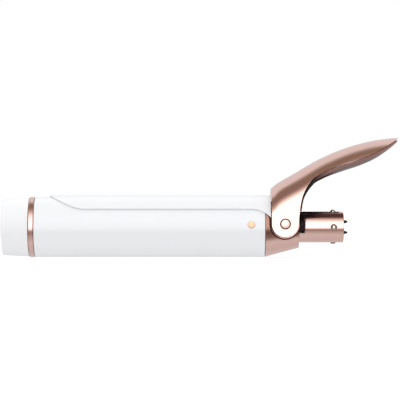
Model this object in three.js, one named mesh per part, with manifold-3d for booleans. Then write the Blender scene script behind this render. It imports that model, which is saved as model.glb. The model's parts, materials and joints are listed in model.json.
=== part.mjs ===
// A clip barrel for a curling iron: a heated barrel with a sprung clip, on a bayonet connector
// that locks into a handle.
//
// Millimetres. +X runs along the barrel towards the handle and +Z points up, to the clip's side.
// The origin is the centre of the connector's end face. Left is -Y, right is +Y.
import * as THREE from "three";
import { mergeVertices } from "three/addons/utils/BufferGeometryUtils.js";
import Module from "manifold-3d";

const wasm = await Module();
wasm.setup();

// ---------------------------------------------------------------- driving dimensions

const GAP = 0.3; // between pieces that touch
const SIDES = [["left", -1], ["right", 1]];

const BARREL = { radius: 19, bore: 18, front: -194.5, rear: -49.8 };
const CAP = { front: -215.2, rear: -198.2, radius: 18.6, endRadius: 17.9, bore: 16.6, edge: 1.2, wall: 2 };
const BAND = { front: -197.9, rear: -194.8, radius: 19.05, bore: 16.6 };
const PLUG = { front: -204, rear: -187, wall: 3 };

const COLLAR = {
  front: -49.5, rear: -28.1, radius: 18.9, rearRadius: 13.2, bore: 7.5, mouth: 14.9, mouthEnd: -46,
};
const SLEEVE = { front: -30.6, rear: 0, radius: 9.8, bore: 8.6, chamfer: 0.3 };
const SPINE = {
  front: -66, shoulder: -50.2, neckFront: -46.5, rear: -16, radius: 17.6, wall: 2, throat: 14,
  neck: 7.2, neckBore: 5.8, flange: 6, innerThroat: -52.5, innerNeck: -47.5,
};
const LUG = { x: -6.1, radius: 1.6, top: 11, crown: 0.8 };
const CARRIER = { length: 8.5, hole: 1.1 };
const PIN = { offset: 3.4, tail: -14, out: 2.5, radius: 0.8, tipRadius: 0.55, step: 1.2 };
const SCREW = { x: -58.4, z: 1.7, head: 2.2, shank: 1.1, headDepth: 1.1, length: 4.4, slot: 0.6 };

const PIVOT = { x: -37.2, z: 2.1 };
const POCKET = { radius: 10, floor: 11.7, top: 26 };
const STUD = { head: 2.8, headDepth: 1, shank: 1.8, end: 7.6, counterbore: 3.4 };
const BUSH = { bore: 2.1, radius: 2.9 };
const SPRING = { coil: 4.3, wire: 0.7, turns: 2, recess: 5.5, boss: 3.2, floor: 8.9 };

const EAR = { x: -37.4, z: 2.2, radius: 8.25, inner: 12.2, outer: 20 };
const PLATE = {
  inner: 19.2, outer: 20, tip: -185.5, noseEnd: -163, flareStart: -59, rear: -46.1,
  halfAngle: 54, flare: 17.6, tongueHalfAngle: 34.5, tongueRear: -41,
};
const RIVET = { x: -42.8, y: 6, radius: 1.1, head: 2, headTop: 17.9, headDepth: 1, top: 22.6 };
const FRONT_WALL = 5; // of the lever, above the clip plate's tongue
const SHELL_WALL = 2.4;
const SHELL_END = 35.8;
// Under the front wall the hollow is as narrow as the room between the ears, then it widens.
const CAVITY = { end: 28, narrowEnd: -29, wideStart: -22 };
// The lever's section: an arc over the crown that tightens at the turn into a shoulder, and from
// there runs down upright at the ears and leaning outwards along the thumb pad.
const ARCH = { crown: 21.4, turn: 51.5, waistStart: -26, waistEnd: -12, lean: 36 };
// The cover's belly starts above its two legs, which run down behind the ears.
const COVER = { bulge: 3.8, leastBulge: 0.4, edge: 0.7, startHeight: 10, legTop: 18, end: 33.4 };

const HEATER = { front: -180, rear: -76, radius: 17.5, flat: 2.8, wall: 2.5, beam: 3 };
const PLATE_HEATER = { front: -172, rear: -84, halfWidth: 8, halfThickness: 1.2 };
const FILM = { front: -178, rear: -78, halfWidth: 11, low: 2.2, high: 2.5 };
const ELECTRODE = { front: -174, rear: -80, halfWidth: 8.5, low: 1.5, high: 1.9 };
const TAB = { front: -81, rear: -70, inner: 2, outer: 6 };
const SENSOR = { front: -92, rear: -80, y: 0, z: 7.6, radius: 1.3 };
const FUSE = { front: -64, rear: -54, y: 4.5, z: 4.2, radius: 2 };

// Beyond the lever on every side, for the bodies that trim it.
const BEYOND = { y: 21, above: 62, below: -20, rim: 4 };

// The lever in side view: its top line from the front edge to the tip, and its rim, where the
// cover meets the shell, from the ear's rear edge to the tip.
const TOP_LINE = new THREE.SplineCurve([
  [-46.2, 24.0], [-45.2, 24.7], [-41.1, 28.0], [-31, 33.8], [-15.8, 42.6], [0, 49.4], [14.6, 53.7],
  [27, 55.8], [36, 56.5],
].map(([x, z]) => new THREE.Vector2(x, z)));
const RIM_LINE = new THREE.SplineCurve([
  [-28.9, 4], [-28.15, 11], [-27.4, 15.8], [-26.1, 20.5], [-24.2, 24.6], [-22, 27.9], [-19.4, 30.8],
  [-14.4, 33.9], [-8.5, 36.7], [0.4, 39.9], [9.3, 42.7], [18.4, 46.3], [27.2, 51.2], [35.2, 56.4],
].map(([x, z]) => new THREE.Vector2(x, z)));

// ---------------------------------------------------------------- materials

const finish = (color, roughness, metalness) =>
  new THREE.MeshStandardMaterial({ color, roughness, metalness });

const MATERIALS = {
  whiteCeramic: () => finish(0xf6f6f5, 0.3, 0),
  whitePlastic: () => finish(0xfafafa, 0.35, 0),
  roseGold: () => finish(0xd8aa9e, 0.32, 0.85),
  darkRose: () => finish(0x6b4a42, 0.3, 0.6),
  steel: () => finish(0xc9c9cc, 0.3, 1),
  blackResin: () => finish(0x1d1d1f, 0.55, 0),
  aluminium: () => finish(0xb4b7ba, 0.45, 1),
  brass: () => finish(0xc9a24d, 0.35, 1),
  film: () => finish(0xb8862b, 0.5, 0),
  heaterCeramic: () => finish(0x8b8680, 0.8, 0),
  redWire: () => finish(0x9c2b22, 0.6, 0),
  whiteWire: () => finish(0xe5e2da, 0.6, 0),
  nylon: () => finish(0xe9e6dc, 0.5, 0),
};

// ---------------------------------------------------------------- shapes and solids

// Turns a closed geometry into a solid, facing out whichever way its profile ran.
function solidOf(geometry) {
  const bare = new THREE.BufferGeometry();
  bare.setAttribute("position", geometry.getAttribute("position"));
  bare.setIndex(geometry.index);
  const merged = mergeVertices(bare, 1e-4);
  const corners = merged.index.array;
  const points = merged.attributes.position.array;
  const triangles = [];
  for (let i = 0; i < corners.length; i += 3) {
    const [a, b, c] = corners.subarray(i, i + 3);
    if (a !== b && b !== c && a !== c) triangles.push([a, b, c]);
  }
  const make = (list) => new wasm.Manifold(new wasm.Mesh({
    numProp: 3,
    vertProperties: Float32Array.from(points),
    triVerts: Uint32Array.from(list.flat()),
  }));
  const solid = make(triangles);
  return solid.volume() < 0 ? make(triangles.map(([a, b, c]) => [a, c, b])) : solid;
}

function geometryOf(solid) {
  const mesh = solid.getMesh();
  const geometry = new THREE.BufferGeometry();
  geometry.setAttribute("position", new THREE.BufferAttribute(mesh.vertProperties, 3));
  geometry.setIndex(new THREE.BufferAttribute(mesh.triVerts, 1));
  const flat = geometry.toNonIndexed();
  flat.computeVertexNormals();
  return flat;
}

const cut = (solid, ...tools) => tools.reduce((left, tool) => left.subtract(tool), solid);
const join = (solid, ...others) => others.reduce((sum, other) => sum.add(other), solid);

// The range from near to far out from the middle, on one side of it.
const span = (side, near, far) => (side > 0 ? [near, far] : [-far, -near]);

const AXES = {
  x: new THREE.Matrix4().makeBasis(
    new THREE.Vector3(0, 1, 0), new THREE.Vector3(0, 0, 1), new THREE.Vector3(1, 0, 0)),
  y: new THREE.Matrix4().makeBasis(
    new THREE.Vector3(1, 0, 0), new THREE.Vector3(0, 0, 1), new THREE.Vector3(0, -1, 0)),
  z: new THREE.Matrix4(),
};

// Revolves [along, radius] points about the X axis.
function turned(points, segments = 36) {
  const lathe = new THREE.LatheGeometry(points.map(([x, r]) => new THREE.Vector2(r, x)), segments);
  return solidOf(lathe.rotateZ(-Math.PI / 2));
}

// A tube: a closed ring profile that doesn't reach the axis.
const ring = (points, segments) => turned([...points, points[0]], segments);

// Revolves [along, radius] points about an axis in the direction of y or z through a centre.
function turnedAbout(axis, centre, points, segments = 16) {
  const lathe = new THREE.LatheGeometry(points.map(([h, r]) => new THREE.Vector2(r, h)), segments);
  if (axis === "z") lathe.rotateX(Math.PI / 2);
  return solidOf(lathe.translate(...centre));
}

// Extrudes a shape along one axis from one station to another.
function extruded(shape, axis, from, to, curveSegments = 16) {
  const [low, high] = axis === "y" ? [-to, -from] : [from, to];
  const geometry = new THREE.ExtrudeGeometry(shape, {
    depth: high - low, bevelEnabled: false, curveSegments,
  });
  return solidOf(geometry.translate(0, 0, low).applyMatrix4(AXES[axis]));
}

function block([x0, y0, z0], [x1, y1, z1]) {
  const box = new THREE.BoxGeometry(x1 - x0, y1 - y0, z1 - z0);
  return solidOf(box.translate((x0 + x1) / 2, (y0 + y1) / 2, (z0 + z1) / 2));
}

function disc(radius, x = 0, y = 0) {
  return new THREE.Shape().absarc(x, y, radius, 0, 2 * Math.PI);
}

function tube(curve, radius, steps, sides = 8) {
  const section = new THREE.Shape(
    Array.from({ length: sides }, (_, i) => {
      const angle = (2 * Math.PI * i) / sides;
      return new THREE.Vector2(radius * Math.cos(angle), radius * Math.sin(angle));
    }),
  );
  return solidOf(new THREE.ExtrudeGeometry(section, { steps, extrudePath: curve }));
}

// Skins a closed body over sections. Each has a place, an up direction in the XZ plane and an
// outline that runs anticlockwise in (y, up), all with the same number of points.
function loft(sections) {
  const count = sections[0].outline.length;
  const points = sections.flatMap(({ at, up, outline }) =>
    outline.flatMap(([y, h]) => [at.x + up.x * h, y, at.y + up.y * h]));
  const triangles = [];
  for (let i = 0; i < sections.length - 1; i += 1) {
    for (let j = 0; j < count; j += 1) {
      const a = i * count + j;
      const b = i * count + ((j + 1) % count);
      triangles.push(a, b, b + count, a, b + count, a + count);
    }
  }
  const capOf = (index) => THREE.ShapeUtils.triangulateShape(
    sections[index].outline.map(([y, h]) => new THREE.Vector2(y, h)), [],
  ).map((corners) => corners.map((corner) => corner + index * count));
  capOf(0).forEach(([a, b, c]) => triangles.push(a, c, b));
  capOf(sections.length - 1).forEach(([a, b, c]) => triangles.push(a, b, c));
  const geometry = new THREE.BufferGeometry();
  geometry.setAttribute("position", new THREE.Float32BufferAttribute(points, 3));
  geometry.setIndex(triangles);
  return solidOf(geometry);
}

const radians = (degrees) => (degrees * Math.PI) / 180;
const UP = new THREE.Vector2(0, 1);
const stations = (from, to, count) =>
  Array.from({ length: count + 1 }, (_, i) => from + ((to - from) * i) / count);

// The height of a side-view curve at x.
function heightOn(curve, x) {
  let [low, high] = [0, 1];
  for (let i = 0; i < 40; i += 1) {
    const middle = (low + high) / 2;
    if (curve.getPoint(middle).x < x) low = middle;
    else high = middle;
  }
  return curve.getPoint(low).y;
}

// ---------------------------------------------------------------- the group

const iron = new THREE.Group();

function add(name, solid, material) {
  const mesh = new THREE.Mesh(geometryOf(solid), material());
  mesh.name = name;
  iron.add(mesh);
}

// ---------------------------------------------------------------- tip

function tipCap() {
  const { front, rear, radius, endRadius, bore, edge, wall } = CAP;
  const corner = stations(0, Math.PI / 2, 3).map((angle) => [
    front + edge * (1 - Math.sin(angle)),
    endRadius - edge * (1 - Math.cos(angle)),
  ]).reverse();
  return turned([
    [front, 0], ...corner, [rear, radius], [rear, bore], [front + wall, bore], [front + wall, 0],
  ]);
}

function tipBand() {
  return ring([
    [BAND.front, BAND.bore], [BAND.front, BAND.radius], [BAND.rear, BAND.radius], [BAND.rear, BAND.bore],
  ]);
}

// A cup that fills the barrel's end and carries the band and the cap on its spigot.
function tipPlug() {
  const spigot = CAP.bore - GAP;
  const inBarrel = BARREL.bore - 0.4;
  return turned([
    [PLUG.front, 0], [PLUG.front, spigot], [BARREL.front, spigot], [BARREL.front, inBarrel],
    [PLUG.rear, inBarrel], [PLUG.rear, spigot - PLUG.wall], [PLUG.front + PLUG.wall, spigot - PLUG.wall],
    [PLUG.front + PLUG.wall, 0],
  ]);
}

add("tip_cap", tipCap(), MATERIALS.whitePlastic);
add("tip_band", tipBand(), MATERIALS.roseGold);
add("tip_plug", tipPlug(), MATERIALS.blackResin);

// ---------------------------------------------------------------- barrel and its screws

// A countersunk hole or screw on the barrel's side; grow widens it into a clearance hole.
function screwBody(side, grow) {
  const { x, z, head, shank, headDepth, length } = SCREW;
  const top = BARREL.radius + grow;
  return turnedAbout("y", [x, 0, z], [
    [side * (top - length - grow), 0], [side * (top - length - grow), shank + grow],
    [side * (top - grow - headDepth), shank + grow], [side * top, head + grow], [side * top, 0],
  ]);
}

function barrelScrew(side) {
  const { x, z, slot, head } = SCREW;
  const [low, high] = [side * (BARREL.radius - 0.7), side * (BARREL.radius + 1)].sort((a, b) => a - b);
  const arm = head * 0.65;
  return cut(
    screwBody(side, 0),
    block([x - arm, low, z - slot / 2], [x + arm, high, z + slot / 2]),
    block([x - slot / 2, low, z - arm], [x + slot / 2, high, z + arm]),
  );
}

function barrelTube() {
  const { front, rear, radius, bore } = BARREL;
  const tubeBody = ring([[front, bore], [front, radius], [rear, radius], [rear, bore]], 48);
  return cut(tubeBody, ...SIDES.map(([, side]) => screwBody(side, GAP)));
}

add("barrel_tube", barrelTube(), MATERIALS.whiteCeramic);
SIDES.forEach(([name, side]) => add(`barrel_screw_${name}`, barrelScrew(side), MATERIALS.roseGold));

// ---------------------------------------------------------------- spine and collar

// The chassis: a ring in the barrel's end, a neck through the collar and a flange in the sleeve.
function spine() {
  const {
    front, shoulder, neckFront, rear, radius, wall, throat, neck, neckBore, flange, innerThroat, innerNeck,
  } = SPINE;
  const inSleeve = SLEEVE.bore - GAP;
  const body = ring([
    [front, radius - wall], [front, radius], [shoulder, radius], [shoulder, throat], [neckFront, neck],
    [rear - flange, neck], [rear - flange, inSleeve], [rear, inSleeve],
    [rear, neckBore], [innerNeck, neckBore], [innerThroat, throat], [innerThroat, radius - wall],
  ]);
  return cut(body, ...SIDES.map(([, side]) => screwBody(side, GAP)));
}

// A collar that tapers from the barrel to the handle, with a pocket for each of the lever's ears.
function collar() {
  const { front, rear, radius, rearRadius, bore, mouth, mouthEnd } = COLLAR;
  const seat = SLEEVE.radius + GAP;
  const body = ring([
    [front, mouth], [front, radius], [rear, rearRadius], [rear, seat], [SLEEVE.front - GAP, seat],
    [SLEEVE.front - GAP, bore], [mouthEnd, bore],
  ], 48);
  const pocket = new THREE.Shape();
  pocket.absarc(PIVOT.x, PIVOT.z, POCKET.radius, Math.PI, 2 * Math.PI);
  pocket.lineTo(PIVOT.x + POCKET.radius, POCKET.top);
  pocket.lineTo(PIVOT.x - POCKET.radius, POCKET.top);
  const recess = disc(SPRING.recess, PIVOT.x, PIVOT.z);
  recess.holes.push(new THREE.Path().absarc(PIVOT.x, PIVOT.z, SPRING.boss, 0, 2 * Math.PI));
  const cuts = SIDES.flatMap(([, side]) => [
    extruded(pocket, "y", ...span(side, POCKET.floor, radius + 1), 24),
    extruded(recess, "y", ...span(side, SPRING.floor, POCKET.floor + 1), 12),
    extruded(disc(STUD.shank + GAP, PIVOT.x, PIVOT.z), "y", ...span(side, 0, POCKET.floor + 1), 12),
  ]);
  return cut(body, ...cuts);
}

add("spine", spine(), MATERIALS.blackResin);
add("collar", collar(), MATERIALS.roseGold);

// ---------------------------------------------------------------- connector

const QUARTERS = [0, 1, 2, 3].map((i) => (i * Math.PI) / 2);

// A stub along a radius of the connector, from one radius to another.
function radialStub(angle, points) {
  const lathe = new THREE.LatheGeometry(points.map(([h, r]) => new THREE.Vector2(r, h)), 14);
  lathe.rotateX(angle + Math.PI / 2).translate(LUG.x, 0, 0);
  return solidOf(lathe);
}

function sleeve() {
  const { front, rear, radius, bore, chamfer } = SLEEVE;
  const body = ring([
    [front, bore], [front, radius], [rear - chamfer, radius], [rear, radius - chamfer], [rear, bore],
  ], 36);
  const hole = [[bore - 1, 0], [bore - 1, LUG.radius + GAP], [radius + 1, LUG.radius + GAP], [radius + 1, 0]];
  return cut(body, ...QUARTERS.map((angle) => radialStub(angle, hole)));
}

function lug(angle) {
  const { radius, top, crown } = LUG;
  const dome = stations(0, 1, 3).map((t) => [top - crown * t * t, radius * t]).reverse();
  return radialStub(angle, [[SLEEVE.bore + 0.1, 0], [SLEEVE.bore + 0.1, radius], ...dome]);
}

const CORNERS = [[1, 1], [-1, 1], [-1, -1], [1, -1]].map((signs) => signs.map((s) => s * PIN.offset));

function contactCarrier() {
  const face = disc(SLEEVE.bore - GAP);
  CORNERS.forEach(([y, z]) => face.holes.push(new THREE.Path().absarc(y, z, CARRIER.hole, 0, 2 * Math.PI)));
  return extruded(face, "x", -CARRIER.length, 0, 12);
}

function contactPin([y, z]) {
  const { tail, out, radius, tipRadius, step } = PIN;
  const pin = new THREE.LatheGeometry([
    [0, tail], [tipRadius, tail], [tipRadius, -CARRIER.length - 0.5], [radius, -CARRIER.length - 0.5],
    [radius, step], [tipRadius, step], [tipRadius, out - 0.35], [tipRadius * 0.6, out], [0, out],
  ].map(([r, x]) => new THREE.Vector2(r, x)), 10);
  return solidOf(pin.rotateZ(-Math.PI / 2).translate(0, y, z));
}

add("connector_sleeve", sleeve(), MATERIALS.roseGold);
QUARTERS.forEach((angle, i) => add(`bayonet_lug_${i + 1}`, lug(angle), MATERIALS.steel));
add("contact_carrier", contactCarrier(), MATERIALS.blackResin);
CORNERS.forEach((place, i) => add(`contact_pin_${i + 1}`, contactPin(place), MATERIALS.brass));

// ---------------------------------------------------------------- heater

// Half of the heater's carrier: a half-round aluminium extrusion with a hollow along it.
function heaterBlock(side) {
  const { front, rear, radius, flat, wall, beam } = HEATER;
  const arcOver = (path, r, height) => {
    const start = Math.asin(height / r);
    return path.absarc(0, 0, r, start, Math.PI - start);
  };
  const section = arcOver(new THREE.Shape(), radius, flat);
  section.holes.push(arcOver(new THREE.Path(), radius - wall, flat + beam));
  const body = extruded(section, "x", front, rear, 14);
  return side > 0 ? body : body.mirror([0, 0, 1]);
}

// A sheet above or below the heater plate.
function sheet(side, { front, rear, halfWidth, low, high }) {
  const [z0, z1] = span(side, low, high);
  return block([front, -halfWidth, z0], [rear, halfWidth, z1]);
}

// An electrode with the tab that its lead is welded to.
function electrode(side) {
  const [y0, y1] = span(side, TAB.inner, TAB.outer);
  const [z0, z1] = span(side, ELECTRODE.low, ELECTRODE.high);
  return join(sheet(side, ELECTRODE), block([TAB.front, y0, z0], [TAB.rear, y1, z1]));
}

function heaterPlate() {
  const { front, rear, halfWidth, halfThickness } = PLATE_HEATER;
  return block([front, -halfWidth, -halfThickness], [rear, halfWidth, halfThickness]);
}

[["upper", 1], ["lower", -1]].forEach(([name, side]) => {
  add(`heater_block_${name}`, heaterBlock(side), MATERIALS.aluminium);
  add(`insulation_${name}`, sheet(side, FILM), MATERIALS.film);
  add(`electrode_${name}`, electrode(side), MATERIALS.brass);
});
add("heater_plate", heaterPlate(), MATERIALS.heaterCeramic);

// ---------------------------------------------------------------- sensor, fuse and leads

function rod({ front, rear, y, z, radius }) {
  return extruded(disc(radius, y, z), "x", front, rear, 6);
}

function lead(points, radius, steps) {
  const route = new THREE.CatmullRomCurve3(points.map((point) => new THREE.Vector3(...point)));
  return tube(route, radius, steps);
}

const NECK = 3.1; // how far off each axis the leads run through the spine's neck
const POWER = 0.8;
const SIGNAL = 0.5;
const LEAD_END = PIN.tail - GAP;

function toPin(start, ySign, zSign) {
  return [
    ...start,
    [-47, ySign * NECK, zSign * NECK], [-36, ySign * NECK, zSign * NECK],
    [-20, ySign * NECK, zSign * NECK], [LEAD_END, ySign * PIN.offset, zSign * PIN.offset],
  ];
}

add("temperature_sensor", rod(SENSOR), MATERIALS.heaterCeramic);
add("thermal_fuse", rod(FUSE), MATERIALS.steel);
add("power_lead_live_front", lead([[-69.7, 4, 1.7], [-67, 4.2, 2.9], [-64.3, 4.5, 4.2]], POWER, 4),
  MATERIALS.redWire);
add("power_lead_live_rear", lead(toPin([[-53.7, 4.5, 4.2]], 1, 1), POWER, 9), MATERIALS.redWire);
add("power_lead_neutral", lead(toPin([[-69.7, -4, -1.7], [-58, -4, 1]], -1, 1), POWER, 11),
  MATERIALS.whiteWire);
[-1, 1].forEach((sign, i) => {
  const start = [[-79.7, sign * 0.7, 7.6], [-66, sign * 1.1, 4], [-55, sign * 1.6, -2]];
  add(`sensor_lead_${i + 1}`, lead(toPin(start, sign, -1), SIGNAL, 13), MATERIALS.whiteWire);
});

// ---------------------------------------------------------------- hinge

// The coil of a torsion spring about the pivot.
class SpringLine extends THREE.Curve {
  constructor(side) {
    super();
    this.side = side;
  }

  getPoint(t, target = new THREE.Vector3()) {
    const angle = 2 * Math.PI * SPRING.turns * t;
    const start = SPRING.floor + GAP + SPRING.wire / 2;
    const end = POCKET.floor - 0.1 - SPRING.wire / 2;
    return target.set(
      PIVOT.x + SPRING.coil * Math.cos(angle),
      this.side * (start + (end - start) * t),
      PIVOT.z + SPRING.coil * Math.sin(angle),
    );
  }
}

function pivotStud(side) {
  const { head, headDepth, shank, end } = STUD;
  return turnedAbout("y", [PIVOT.x, 0, PIVOT.z], [
    [side * end, 0], [side * end, shank], [side * (EAR.outer - headDepth), shank],
    [side * (EAR.outer - headDepth), head], [side * (EAR.outer - 0.15), head],
    [side * EAR.outer, head - 0.15], [side * EAR.outer, 0],
  ], 24);
}

function pivotBush(side) {
  const [low, high] = [EAR.inner + 0.1, EAR.outer - STUD.headDepth - 2 * GAP].map((y) => side * y);
  return turnedAbout("y", [PIVOT.x, 0, PIVOT.z], [
    [low, BUSH.bore], [low, BUSH.radius], [high, BUSH.radius], [high, BUSH.bore], [low, BUSH.bore],
  ]);
}

SIDES.forEach(([name, side]) => {
  add(`pivot_stud_${name}`, pivotStud(side), MATERIALS.roseGold);
  add(`pivot_bush_${name}`, pivotBush(side), MATERIALS.nylon);
  add(`clip_spring_${name}`, tube(new SpringLine(side), SPRING.wire / 2, 32, 6), MATERIALS.steel);
});

// ---------------------------------------------------------------- clip plate

// How far the plate wraps each way from its crown: a rounded nose, a straight stretch, and a
// flare where it joins the lever.
function wrapAt(x) {
  const { tip, noseEnd, flareStart, rear, halfAngle, flare } = PLATE;
  if (x < noseEnd) return halfAngle * (1 - ((noseEnd - x) / (noseEnd - tip)) ** 1.8) ** 0.7;
  if (x < flareStart) return halfAngle;
  return halfAngle + flare * ((x - flareStart) / (rear - flareStart)) ** 2.2;
}

function plateSection(x, halfAngle, inner, outer) {
  const angles = stations(radians(halfAngle), -radians(halfAngle), 14);
  const arc = (radius, list) => list.map((a) => [radius * Math.sin(a), radius * Math.cos(a)]);
  const outline = [...arc(outer, angles), ...arc(inner, [...angles].reverse())];
  return { at: new THREE.Vector2(x, 0), up: UP, outline };
}

// Rivet and its hole, along Z through the plate's tongue.
function rivetBody(y, grow) {
  const { x, radius, head, headTop, headDepth, top } = RIVET;
  return turnedAbout("z", [x, y, 0], [
    [headTop - headDepth - grow, 0], [headTop - headDepth - grow, head], [headTop, head],
    [headTop, radius + grow], [top + grow, radius + grow], [top + grow, 0],
  ], 16);
}

function clipPlate() {
  const { inner, outer, tip, noseEnd, flareStart, rear, tongueHalfAngle, tongueRear } = PLATE;
  const nose = stations(0.04, 1, 8).map((t) => tip + (noseEnd - tip) * t ** 1.6);
  const middle = stations(noseEnd, flareStart, 3).slice(1);
  const tail = stations(flareStart, rear, 5).slice(1);
  const main = loft([...nose, ...middle, ...tail].map((x) => plateSection(x, wrapAt(x), inner, outer)));
  const tongue = loft([rear - 1, tongueRear].map(
    (x) => plateSection(x, tongueHalfAngle, inner + 0.05, outer - 0.05)));
  return cut(join(main, tongue), ...[-1, 1].map((sign) => rivetBody(sign * RIVET.y, GAP)));
}

add("clip_plate", clipPlate(), MATERIALS.whiteCeramic);
SIDES.forEach(([name, side]) => add(`clip_rivet_${name}`, rivetBody(side * RIVET.y, 0), MATERIALS.steel));

// ---------------------------------------------------------------- lever

// Goes smoothly from a to b as x passes from one station to another.
function ease(x, from, to, a, b) {
  return a + (b - a) * THREE.MathUtils.smoothstep(x, from, to);
}

const TURN = radians(ARCH.turn);
const SHOULDER = (EAR.outer - ARCH.crown * Math.sin(TURN)) / (1 - Math.sin(TURN));
const leanAt = (x) => radians(ease(x, ARCH.waistStart, ARCH.waistEnd, 0, ARCH.lean));
// The feet of the sections: far below the ears, and a little below the rim along the pad.
const footAt = (x) => (x < ARCH.waistStart ? BEYOND.below : heightOn(RIM_LINE, x) - BEYOND.rim);

// How far out and how far down the arch has come at an angle from its crown.
function onArch(angle, inset) {
  const first = Math.min(angle, TURN);
  const [crown, shoulder] = [ARCH.crown - inset, SHOULDER - inset];
  return [
    crown * Math.sin(first) + shoulder * (Math.sin(angle) - Math.sin(first)),
    crown * (1 - Math.cos(first)) + shoulder * (Math.cos(first) - Math.cos(angle)),
  ];
}

// Half of the section at x, from the crown to the foot, as [y, height].
function halfSection(x, inset) {
  const top = heightOn(TOP_LINE, x) - inset;
  const lean = leanAt(x);
  const arc = stations(0, Math.PI / 2 - lean, 9).map((angle) => onArch(angle, inset));
  const [shoulderOut, shoulderDrop] = arc[arc.length - 1];
  const footDrop = Math.max(top - footAt(x), shoulderDrop + 1);
  const foot = [shoulderOut + (footDrop - shoulderDrop) * Math.tan(lean), footDrop];
  return [...arc, foot].map(([y, drop]) => [y, top - drop]);
}

function archSection(x, half) {
  const others = half.slice(1).reverse();
  return {
    at: new THREE.Vector2(x, 0),
    up: UP,
    outline: [...others, half[0], ...half.slice(1).map(([y, h]) => [-y, h])],
  };
}

// The lever's outline in side view, open above, where the arch is its own top.
function leverOutline() {
  const ear = new THREE.Path().absarc(EAR.x, EAR.z, EAR.radius, Math.PI, 2 * Math.PI);
  const corners = [[SHELL_END + 0.2, BEYOND.above], [EAR.x - EAR.radius, BEYOND.above]]
    .map(([x, z]) => new THREE.Vector2(x, z));
  return new THREE.Shape([...ear.getPoints(12), ...RIM_LINE.getPoints(26), ...corners]);
}

// Narrow between the ears, then following the outside at the wall's thickness.
function leverCavity() {
  const { end, narrowEnd, wideStart } = CAVITY;
  return loft(stations(EAR.x - EAR.radius + FRONT_WALL, end, 12).map((x) => {
    const half = halfSection(x, SHELL_WALL);
    const narrowed = half.map(([y, h]) => [ease(x, narrowEnd, wideStart, Math.min(y, EAR.inner), y), h]);
    return archSection(x, narrowed);
  }));
}

// Room under the front wall for the collar and the clip plate's tongue.
function frontRoom() {
  const radius = PLATE.outer + GAP;
  const corner = Math.acos(EAR.inner / radius);
  const room = new THREE.Shape();
  room.moveTo(-EAR.inner, BEYOND.below);
  room.lineTo(EAR.inner, BEYOND.below);
  room.absarc(0, 0, radius, corner, Math.PI - corner);
  return extruded(room, "x", PLATE.rear - 0.5, EAR.x - EAR.radius + FRONT_WALL + 0.1, 16);
}

function leverShell() {
  const front = EAR.x - EAR.radius - 0.8;
  const arch = loft(stations(front, SHELL_END, 22).map(
    (x) => archSection(x, halfSection(x, 0))));
  const body = arch.intersect(extruded(leverOutline(), "y", -BEYOND.y, BEYOND.y));
  const seat = EAR.outer - STUD.headDepth - GAP;
  const bores = SIDES.flatMap(([, side]) => [
    extruded(disc(BUSH.radius + GAP, PIVOT.x, PIVOT.z), "y", ...span(side, EAR.inner - 1, EAR.outer), 12),
    extruded(disc(STUD.counterbore, PIVOT.x, PIVOT.z), "y", ...span(side, seat, EAR.outer + 1), 16),
  ]);
  const rivetHoles = [-1, 1].map((sign) => rivetBody(sign * RIVET.y, GAP));
  return cut(body, leverCavity(), frontRoom(), ...bores, ...rivetHoles);
}

// The half-width of the shell at a point on its rim, found along its half section.
function rimHalfWidth(x, rimHeight) {
  const half = halfSection(x, 0);
  const after = half.findIndex(([, h]) => h < rimHeight);
  const [[y0, h0], [y1, h1]] = [half[after - 1], half[after]];
  return y0 + ((y1 - y0) * (h0 - rimHeight)) / (h0 - h1);
}

// A convex cover that follows the rim and closes the lever from below. Between its legs it is
// open, because the connector's sleeve passes there.
function leverUnderside() {
  const { bulge, leastBulge, edge, startHeight, legTop, end } = COVER;
  const rim = RIM_LINE.getSpacedPoints(34).filter(({ x, y }) => y >= startHeight && x <= end);
  const last = rim.length - 1;
  const bellyStart = rim.findIndex(({ y }) => y >= legTop);
  const sections = rim.map((point, i) => {
    const along = rim[Math.min(i + 1, last)].clone().sub(rim[Math.max(i - 1, 0)]).normalize();
    const up = new THREE.Vector2(-along.y, along.x);
    const halfWidth = rimHalfWidth(point.x, point.y) - 0.2;
    const share = Math.max(0, i - bellyStart) / (last - bellyStart);
    const swell = leastBulge + (bulge - edge - leastBulge) * Math.sin(Math.PI * share) ** 0.7;
    const belly = stations(Math.PI, 0, 10).map((a) => [
      halfWidth * Math.cos(a), -GAP - edge - swell * Math.sin(a),
    ]);
    return { at: point, up, outline: [[-halfWidth, -GAP], ...belly, [halfWidth, -GAP]] };
  });
  const notch = EAR.inner + GAP;
  return cut(loft(sections), block([EAR.x, -notch, 0], [ARCH.waistEnd, notch, legTop]));
}

add("lever_shell", leverShell(), MATERIALS.roseGold);
add("lever_underside", leverUnderside(), MATERIALS.darkRose);

export default iron;
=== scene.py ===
# %% [markdown]
# # A clip barrel for a curling iron
#
# This lesson builds the finished look of one interchangeable curling barrel: a white
# ceramic tube with a cool tip, a sprung clip with a rose-gold thumb lever, a hinge collar
# and a bayonet connector. The engineering model is already there. It gives every place and
# size, and it owns the hinge. We build finer surfaces around it and give each one a finish.

import json
import math

import bmesh
import bpy
from mathutils import Matrix, Vector


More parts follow.
